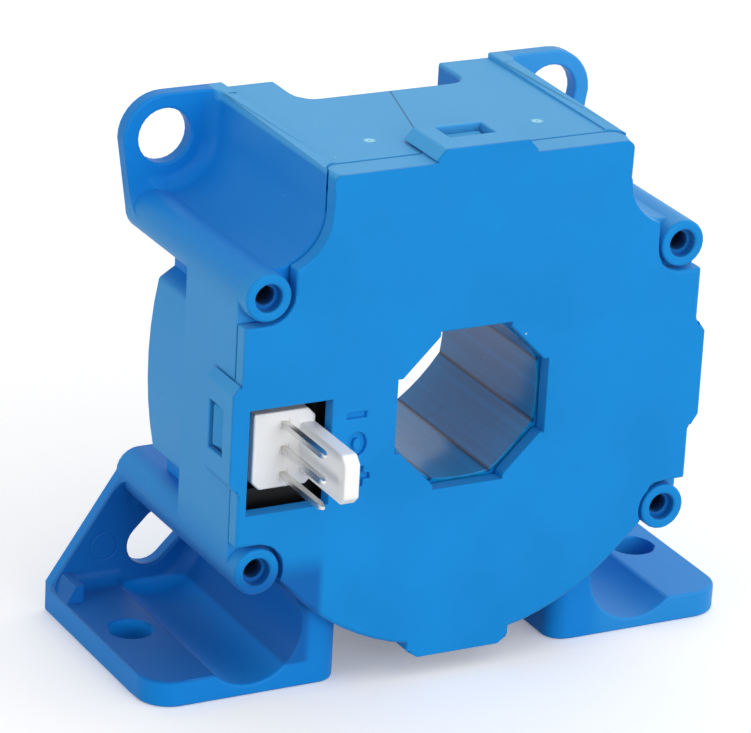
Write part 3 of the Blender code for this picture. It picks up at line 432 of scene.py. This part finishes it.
# %% [markdown]
# ## Working copies of the moulded parts
#
# The solids have knife-sharp edges, and a real moulding never does: each edge has a small radius that
# catches the light. The solid itself must stay as it is, so a copy takes its place in the picture.
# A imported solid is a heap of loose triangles, which have to be welded, and merged into large flat
# faces, before an edge can be rounded.


def only_selected(piece):
    """Make one object the selected and active one."""
    bpy.ops.object.select_all(action="DESELECT")
    piece.select_set(True)
    bpy.context.view_layer.objects.active = piece


def merge_flat_faces(piece):
    """Weld the corners and merge the triangles of each flat face."""
    only_selected(piece)
    bpy.ops.object.mode_set(mode="EDIT")
    bpy.ops.mesh.select_all(action="SELECT")
    bpy.ops.mesh.remove_doubles(threshold=0.002 * MM)
    bpy.ops.mesh.dissolve_limited(angle_limit=math.radians(1.0))
    bpy.ops.object.mode_set(mode="OBJECT")


def working_copy(node_name, piece_name, finish):
    """Welded copy of a solid, with a finish, that takes the solid's place."""
    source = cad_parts[node_name]
    piece = bpy.data.objects.new(piece_name, source.data.copy())
    bpy.context.scene.collection.objects.link(piece)
    piece.data.materials.clear()
    piece.data.materials.append(finish.material)
    merge_flat_faces(piece)
    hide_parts(node_name)
    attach(piece, "root")
    return piece


# %% [markdown]
# Two small helpers follow. One selects what lies in a certain place, for the edit-mode operators. The
# other adds a block to a copy or takes it away, which is how small forms are put right.


# %% Select by place, add and take away
def pick(piece, kind, test):
    """Enter edit mode with the corners (VERT) or edges (EDGE) selected whose middle passes a test."""
    only_selected(piece)
    bpy.ops.object.mode_set(mode="EDIT")
    bpy.ops.mesh.select_mode(type=kind)
    bpy.ops.mesh.select_all(action="DESELECT")
    bpy.ops.object.mode_set(mode="OBJECT")
    places = [vert.co for vert in piece.data.vertices]
    for item in piece.data.vertices if kind == "VERT" else piece.data.edges:
        corners = [item.index] if kind == "VERT" else item.vertices
        item.select = bool(test(*(places[corner] for corner in corners)))
    bpy.ops.object.mode_set(mode="EDIT")


def block(name, low, high):
    """Box between two corners, as a tool."""
    low, high = Vector(low) * MM, Vector(high) * MM
    bpy.ops.mesh.primitive_cube_add(size=1.0, location=(low + high) / 2)
    made = bpy.context.active_object
    made.name = name
    made.dimensions = high - low
    bpy.ops.object.transform_apply(location=True, rotation=True, scale=True)
    return made


def work(piece, tool, operation):
    """UNION or DIFFERENCE of a piece with a tool, which is used up."""
    only_selected(piece)
    step = piece.modifiers.new(tool.name, "BOOLEAN")
    step.operation = operation
    step.solver = "EXACT"
    step.object = tool
    bpy.ops.object.modifier_apply(modifier=step.name)
    bpy.data.objects.remove(tool, do_unlink=True)


# %% [markdown]
# A bevel wider than the space beside an edge runs off the surface as a spike. So each edge first gets
# a bevel that fits the narrower of its two faces. Then the bevel is tried, each of its points is
# compared with the solid, and where a point strays, the bevel of the edges beside it is made narrower,
# and in the last rounds left out.

# %% A bevel that checks itself
BEVEL_ROUNDS = 24
GENTLE_ROUNDS = 18
EASING = 0.7
ROOM_SHARE = 0.42
LEAST_WEIGHT = 0.12
SMALLEST_AREA = 1e-11
FACING_BACK = -0.02
SHARP_ANGLE = math.radians(30)


def room_beside(loop):
    """Distance across a face, from the middle of one of its edges to the next edge."""
    start = loop.vert.co
    along = loop.link_loop_next.vert.co - start
    middle = start + along / 2
    inward = loop.face.normal.cross(along).normalized()
    room = math.inf
    for other in loop.face.loops:
        first = other.vert.co - middle
        second = other.link_loop_next.vert.co - middle
        before, after = first.dot(along), second.dot(along)
        if other is not loop and before * after <= 0 and before != after:
            across = (first + (second - first) * before / (before - after)).dot(inward)
            if across > 0.001 * MM:
                room = min(room, across)
    return room


def strays(piece, solid, limit):
    """Points of the bevelled shape that lie off the solid or face the wrong way."""
    shape = piece.evaluated_get(bpy.context.evaluated_depsgraph_get()).data
    found = [vert.co.copy() for vert in shape.vertices if solid.find_nearest(vert.co)[3] > limit]
    shape.calc_loop_triangles()
    for triangle in shape.loop_triangles:
        middle = sum((shape.vertices[index].co for index in triangle.vertices), Vector()) / 3
        if triangle.area > SMALLEST_AREA and solid.find_nearest(middle)[1].dot(triangle.normal) < FACING_BACK:
            found.append(middle)
    return found


def gap_to_edge(point, edge):
    """Distance from a point to an edge."""
    start, end = (vert.co for vert in edge.verts)
    along = end - start
    share = max(0.0, min(1.0, (point - start).dot(along) / along.length_squared))
    return (point - start - along * share).length


def soften(piece, width, widest=None, segments=3):
    """Round the outward edges as far as there is room, and apply the result.

    widest gives the rounding that a place may have, where it isn't the full width everywhere.
    """
    form = bmesh.new()
    form.from_mesh(piece.data)
    solid = BVHTree.FromBMesh(form)
    weight = form.edges.layers.float.new("bevel_weight_edge")
    sharp = [edge for edge in form.edges
             if len(edge.link_faces) == 2 and edge.is_convex and edge.calc_face_angle() > SHARP_ANGLE]
    for edge in sharp:
        room = min(room_beside(loop) for loop in edge.link_loops)
        place = (edge.verts[0].co + edge.verts[1].co) / 2
        allowed = width if widest is None else widest(place)
        share = min(allowed, ROOM_SHARE * room) / width
        edge[weight] = share if share > LEAST_WEIGHT else 0.0
    form.to_mesh(piece.data)
    step = piece.modifiers.new("soft_edges", "BEVEL")
    step.limit_method = "WEIGHT"
    step.width = width
    step.segments = segments
    step.use_clamp_overlap = False
    piece.data.materials.append(piece.data.materials[0])
    step.material = 1
    for attempt in range(BEVEL_ROUNDS):
        found = strays(piece, solid, 0.45 * width)
        if not found:
            break
        for point in found:
            near = min((edge for edge in sharp if edge[weight] > 0), key=lambda edge: gap_to_edge(point, edge))
            end = min(near.verts, key=lambda vert: (vert.co - point).length)
            beside = near.verts if attempt >= GENTLE_ROUNDS else [end]
            for edge in {near, *(edge for vert in beside for edge in vert.link_edges)}:
                eased = edge[weight] * EASING
                edge[weight] = eased if eased > LEAST_WEIGHT and attempt < GENTLE_ROUNDS else 0.0
        form.to_mesh(piece.data)
    rounded = sum(edge[weight] > 0 for edge in sharp)
    print("%s: %d of %d edges rounded, %d strays left" % (piece.name, rounded, len(sharp), len(found)))
    form.free()
    only_selected(piece)
    bpy.ops.object.modifier_apply(modifier=step.name)
    shade(piece)


# %% [markdown]
# Smooth shading averages the faces that meet at a corner, and that bends the light on a large flat face
# wherever a thin rounding ends beside it. So the normals are set by rule. A wall takes the average of
# the walls that nearly line up with it, the largest counting most: flat walls stay flat, and a drum made
# of strips looks round. A rounding takes the normal of the wall it touches, and blends in between. The
# bevel gave its faces the second material slot, which tells them from the walls.

# %% Normals by rule
SMOOTH_ANGLE = math.radians(25)
TOUCH_ANGLE = math.radians(50)


def shade(piece):
    """Give walls and roundings their normals, and drop the second material slot."""
    mesh = piece.data
    around = [[] for _ in mesh.vertices]
    for face in mesh.polygons:
        for index in face.vertices:
            around[index].append(face)

    def blend(face, index, kind, angle):
        total = Vector()
        for other in around[index]:
            if other.material_index == kind and other.normal.dot(face.normal) > math.cos(angle):
                total += other.normal * (other.area / MM ** 2) ** 2
        return total.normalized()

    normals = [None] * len(mesh.loops)
    for face in mesh.polygons:
        for loop, index in zip(face.loop_indices, face.vertices):
            walls = [other for other in around[index] if other.material_index == 0]
            nearest = max(walls, key=lambda wall: wall.normal.dot(face.normal), default=None)
            if face.material_index == 0:
                normals[loop] = blend(face, index, 0, SMOOTH_ANGLE)
            elif nearest and nearest.normal.dot(face.normal) > math.cos(TOUCH_ANGLE):
                normals[loop] = blend(nearest, index, 0, SMOOTH_ANGLE)
            else:
                normals[loop] = blend(face, index, 1, TOUCH_ANGLE)
    mesh.polygons.foreach_set("material_index", [0] * len(mesh.polygons))
    mesh.materials.pop(index=1)
    bpy.ops.object.shade_smooth()
    mesh.normals_split_custom_set(normals)


# %% [markdown]
# ## The rear housing
#
# This is the skilful piece of the product: drum, legs, screw recesses and bore tube come out of one
# mould. The frame has all its forms, and three small ones are made finer here. The lip above each screw
# recess fades out towards the cover, so a sloping tool planes it down. The tongue on the cover has round
# ends, and the housing fills the corners that they leave. The wedge that stiffens each foot gets its
# narrow flat top and its upright front end.

# %% Rear housing
LIP_INNER = 14.1
LIP_OUTER = 15.7
LIP_FRONT = -7.5
LIP_REAR = 15.0
LIP_TOE = 51.72
LIP_TOP = 52.13
CASE_SIDE = 15.589
PLATE_BACK = -8.25
TONGUE_ROUND = 1.5
SEAM = 0.2
WEDGE_OUTER = 31.089
WEDGE_TOP = 4.4
WEDGE_FOOT = 2.7
WEDGE_SLOPE = 0.95
WEDGE_WIDTH = 1.95
WEDGE_FRONT = 11.6
WEDGE_REAR = 15.3


def planing_tool(direction):
    """Block whose underside rises from the cover to the ear, above one lip."""
    left, right = sorted((direction * LIP_INNER, direction * LIP_OUTER))
    tool = block("lip_plane", (left, LIP_FRONT, LIP_TOE), (right, LIP_REAR, 54.0))
    pick(tool, "VERT", lambda place: place.y > 0 and place.z < 53.0 * MM)
    bpy.ops.transform.translate(value=(0, 0, (LIP_TOP - LIP_TOE) * MM))
    bpy.ops.object.mode_set(mode="OBJECT")
    return tool


def foot_wedge(direction):
    """Wedge at the outer edge of a foot: a block whose outer top edge is pushed down to the foot."""
    left, right = sorted((direction * WEDGE_OUTER, direction * (WEDGE_OUTER - WEDGE_WIDTH)))
    tool = block("foot_wedge", (left, WEDGE_FRONT, WEDGE_FOOT - 0.5), (right, WEDGE_REAR, WEDGE_TOP))
    pick(tool, "EDGE", lambda *ends: all(abs(end.x) > 31 * MM and end.z > 3 * MM for end in ends))
    bpy.ops.mesh.bevel(offset_type="OFFSET", offset=WEDGE_SLOPE * MM, segments=1)
    bpy.ops.object.mode_set(mode="OBJECT")
    pick(tool, "VERT", lambda place: abs(place.x) > 31 * MM and place.z > 3 * MM)
    bpy.ops.transform.translate(value=(0, 0, (WEDGE_FOOT - WEDGE_TOP + WEDGE_SLOPE) * MM))
    bpy.ops.object.mode_set(mode="OBJECT")
    return tool


def corner_tool(name, direction, room, outer, bottom, top, rear):
    """Block at one end of the cover's tongue, less the round end of the tongue with room behind it."""
    inner = CASE_SIDE - TONGUE_ROUND
    left, right = sorted((direction * outer, direction * inner))
    tool = block(name, (left, PLATE_BACK + room, bottom), (right, rear, top))
    bpy.ops.mesh.primitive_cylinder_add(vertices=64, radius=MM, depth=20 * MM,
                                        location=Vector((direction * inner, PLATE_BACK, top)) * MM)
    end = bpy.context.active_object
    end.scale = (TONGUE_ROUND, TONGUE_ROUND + room, 1.0)
    bpy.ops.object.transform_apply(location=True, rotation=True, scale=True)
    work(tool, end, "DIFFERENCE")
    return tool


housing = working_copy("rear_housing", "housing_moulding", blue)
for direction in (-1, 1):
    work(housing, planing_tool(direction), "DIFFERENCE")
    work(housing, corner_tool("corner_fill", direction, SEAM, CASE_SIDE, 49.4, LIP_TOE, -6.5), "UNION")
    work(housing, foot_wedge(direction), "UNION")
merge_flat_faces(housing)
soften(housing, 0.3 * MM)
print("housing faces:", len(housing.data.polygons))

# %% [markdown]
# ## The cover and its signs
#
# Beside the window three signs tell which pin is which. They are sunk 0.4 mm into the moulding. Each
# is modelled as the punch that would press it, and taken away from the cover's copy before its edges
# are softened, so that the grooves get soft edges as well. The cover's outline is rounder than its
# windows, and its two top corners are rounder still.

# %% Punches for the signs
SIGN_DEPTH = 0.4 * MM
SIGN_STROKE = 0.6 * MM
SIGN_LENGTH = 2.0 * MM


def punch_bar(name, x, z, width, height):
    """Straight stroke, as a block that stands through the cover's face."""
    bpy.ops.mesh.primitive_cube_add(size=1.0, location=(x, COVER_FACE, z))
    bar = bpy.context.active_object
    bar.name = name
    bar.dimensions = (width, 2 * SIGN_DEPTH, height)
    bpy.ops.object.transform_apply(location=True, rotation=True, scale=True)
    return bar


def punch_ring(name, x, z, width, height):
    """Oval stroke: a disc is inset, its middle removed, and the band left is pushed back."""
    bpy.ops.mesh.primitive_circle_add(vertices=36, radius=0.5, fill_type="NGON", rotation=(math.pi / 2, 0, 0))
    ring = bpy.context.active_object
    ring.name = name
    ring.scale = (width, height, 1.0)
    ring.location = (x, COVER_FACE - SIGN_DEPTH, z)
    bpy.ops.object.transform_apply(location=True, rotation=True, scale=True)
    bpy.ops.object.mode_set(mode="EDIT")
    bpy.ops.mesh.select_all(action="SELECT")
    bpy.ops.mesh.inset(thickness=SIGN_STROKE)
    bpy.ops.mesh.delete(type="FACE")
    bpy.ops.mesh.select_all(action="SELECT")
    bpy.ops.mesh.extrude_region_move(TRANSFORM_OT_translate={"value": (0, 2 * SIGN_DEPTH, 0)})
    bpy.ops.mesh.select_all(action="SELECT")
    bpy.ops.mesh.normals_make_consistent(inside=False)
    bpy.ops.object.mode_set(mode="OBJECT")
    return ring


punches = [punch_bar("minus_punch", -12.1 * MM, 27.9 * MM, SIGN_LENGTH, SIGN_STROKE),
           punch_ring("zero_punch", -12.0 * MM, 25.0 * MM, 2.0 * MM, 2.4 * MM),
           punch_bar("plus_punch_flat", -11.5 * MM, 21.7 * MM, SIGN_LENGTH, SIGN_STROKE),
           punch_bar("plus_punch_upright", -11.5 * MM, 21.7 * MM, SIGN_STROKE, SIGN_LENGTH)]
print("punches:", len(punches))

# %% Front cover
CORNER_ROUND = 0.9 * MM
COVER_TOP = 51.6
NOTCH_SIDE = 19.0
NOTCH_TOP = 43.3
RIM_ROUND = 0.45 * MM
FINE_ROUND = 0.18 * MM
WINDOW_CENTRE = Vector((-18.8, 24.6)) * MM
WINDOW_REACH = Vector((4.6, 5.6)) * MM
OPENING_REACH = 14.0 * MM


def cover_round(place):
    """Rounding of the cover's edges: wide at the front rim, narrow at the windows, the signs and the seam."""
    beside = abs(place.x - WINDOW_CENTRE.x) < WINDOW_REACH.x and abs(place.z - WINDOW_CENTRE.y) < WINDOW_REACH.y
    inner = math.hypot(place.x, place.z - BORE_HEIGHT) < OPENING_REACH
    at_front = place.y < COVER_FACE + 0.01 * MM
    return RIM_ROUND if at_front and not beside and not inner else FINE_ROUND


cover = working_copy("front_cover", "cover_moulding", blue)
for direction in (-1, 1):
    left, right = sorted((direction * NOTCH_SIDE, direction * 25.5))
    work(cover, block("screw_notch", (left, -10.5, 40.6), (right, -7.9, NOTCH_TOP)), "DIFFERENCE")
    work(cover, corner_tool("tongue_end", direction, 0.0, CASE_SIDE + 1.0, 49.0, 54.0, -6.0), "DIFFERENCE")
for punch in punches:
    work(cover, punch, "DIFFERENCE")
merge_flat_faces(cover)
pick(cover, "EDGE", lambda *ends: all(abs(abs(end.x) / MM - CASE_SIDE) < 0.01
                                      and abs(end.z / MM - COVER_TOP) < 0.01 for end in ends))
bpy.ops.mesh.bevel(offset_type="OFFSET", offset=CORNER_ROUND, segments=6)
bpy.ops.object.mode_set(mode="OBJECT")
soften(cover, RIM_ROUND, cover_round)
print("cover faces:", len(cover.data.polygons))

# %% [markdown]
# ## The header and its pins
#
# The white header has one tall wall, behind which the plug's latch clicks. The three square pins
# stand free in front of it. The frame keeps room round each pin, and the real pins are pressed in
# tight, so a collar closes each hole just below the face. Both get small radii.

# %% Header and pins
HEADER_FACE = -7.55
COLLAR_DEPTH = 0.12
COLLAR_HALF = 0.6

header = working_copy("connector_header", "header_moulding", nylon)
for number in (1, 2, 3):
    low, high = (Vector(corner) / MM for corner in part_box("connector_pin_%d" % number))
    x, z = (low.x + high.x) / 2, (low.z + high.z) / 2
    work(header, block("collar", (x - COLLAR_HALF, HEADER_FACE + COLLAR_DEPTH, z - COLLAR_HALF),
                       (x + COLLAR_HALF, HEADER_FACE + 1.5, z + COLLAR_HALF)), "UNION")
merge_flat_faces(header)
soften(header, 0.2 * MM)
for number in (1, 2, 3):
    pin = working_copy("connector_pin_%d" % number, "header_pin_%d" % number, tin)
    soften(pin, 0.06 * MM)

# %% [markdown]
# ## Floor and light
#
# The picture is a catalogue shot on a white ground. The floor is white paint that the camera sees a
# little brighter than the lamps make it, which keeps the shadow and clears the rest to white.

# %% Floor
FLOOR_SIZE = 6.0
FLOOR_GLOW = 0.20
FLOOR_WHITE = (0.955, 0.95, 0.945, 1.0)
FLOOR_BOUNCE = (0.48, 0.48, 0.48, 1.0)

bpy.ops.object.select_all(action="DESELECT")
bpy.ops.mesh.primitive_plane_add(size=FLOOR_SIZE, location=(0, 0, 0))
floor = bpy.context.active_object
floor.name = "studio_floor"
paint = Finish("floor_paint", Roughness=0.9)
seen = paint.seen_directly()
paint.feed("Base Color", paint.mix(seen, FLOOR_BOUNCE, FLOOR_WHITE))
glow = paint.node("ShaderNodeEmission", {}, {"Strength": seen * FLOOR_GLOW})
lit = Value(paint, paint.shader.outputs[0])
total = paint.node("ShaderNodeAddShader", {}, {0: lit, 1: glow})
paint.tree.links.new(total.socket, paint.tree.nodes["Material Output"].inputs["Surface"])
floor.data.materials.append(paint.material)

# %% [markdown]
# The room is a soft dome. Low down it is even, and high up it is bright on the right and dim on the
# left, because the picture's recesses on the left are deep blue while the top of the case is pale. One
# broad lamp in front lifts the cover, and a weaker one lifts the left side.

# %% Dome of light
LOW_LIGHT = 0.78
DIM_SIDE = 0.26
BRIGHT_SIDE = 1.25

world = bpy.data.worlds.new("studio_dome")
bpy.context.scene.world = world
dome = Graph(world)
direction = dome.node("ShaderNodeTexCoord", {}, {}, "Generated")
high_light = DIM_SIDE + dome.part_of(direction, "X").rise(-0.6, 0.4) * (BRIGHT_SIDE - DIM_SIDE)
from_above = dome.part_of(direction, "Z").rise(0.15, 0.55)
strength = LOW_LIGHT + (high_light - LOW_LIGHT) * from_above
strength = dome.maths("MAXIMUM", strength, dome.seen_directly())
background = dome.tree.nodes["Background"]
background.inputs["Color"].default_value = (1.0, 1.0, 1.0, 1.0)
dome.tree.links.new(strength.socket, background.inputs["Strength"])


# %% Lamp
def soft_lamp(name, place, size, power):
    """Square lamp that faces the part."""
    light = bpy.data.lights.new(name, "AREA")
    light.size = size
    light.energy = power
    lamp = bpy.data.objects.new(name, light)
    lamp.location = place
    lamp.rotation_euler = (Vector(place) - AIM_POINT).to_track_quat("Z", "Y").to_euler()
    bpy.context.scene.collection.objects.link(lamp)
    return lamp


key = soft_lamp("key_lamp", (0.10, -0.72, 0.13), 0.4, 2.25)
side = soft_lamp("side_lamp", (-0.72, -0.08, 0.12), 0.5, 1.6)
print("lamp powers", key.data.energy, side.data.energy)
